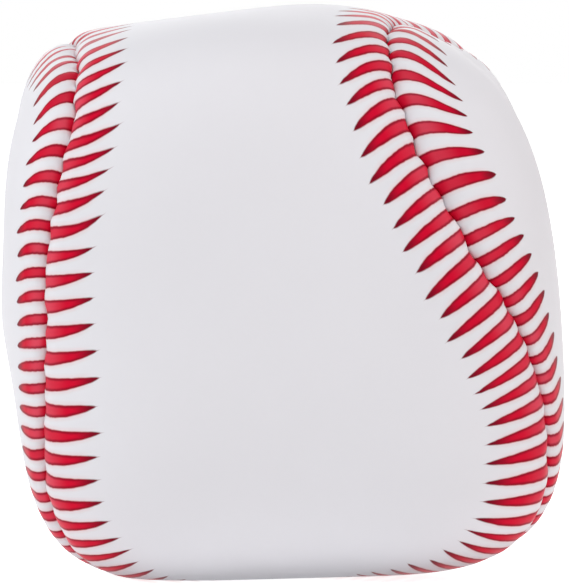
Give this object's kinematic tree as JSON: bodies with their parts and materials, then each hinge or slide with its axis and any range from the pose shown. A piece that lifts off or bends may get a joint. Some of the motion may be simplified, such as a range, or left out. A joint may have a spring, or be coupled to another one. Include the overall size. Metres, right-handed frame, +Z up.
{
  "type": "footbag",
  "caption": "Small soft kicking bag: alike dog-bone vinyl panels sewn along one saddle seam round loose pellets, with red stitch marks printed beside the seam.",
  "frame": {"origin": "middle of the bag's outline, on the surface that it stands on", "axes": "+Z up, +X to the right and +Y away from the viewer, as the bag stands in the picture"},
  "size_m": [0.0496, 0.049, 0.0504],
  "materials": {
    "white_vinyl": "smooth semi-gloss white vinyl with red printed stitch marks",
    "white_thread": "white polyester sewing thread",
    "pale_pellets": "translucent off-white plastic pellets"
  },
  "bodies": {
    "root": {"over_panel": "white_vinyl", "under_panel": "white_vinyl", "needle_thread": "white_thread", "bobbin_thread": "white_thread", "closing_thread": "white_thread", "pellet_fill": "pale_pellets"}
  },
  "joints": []
}
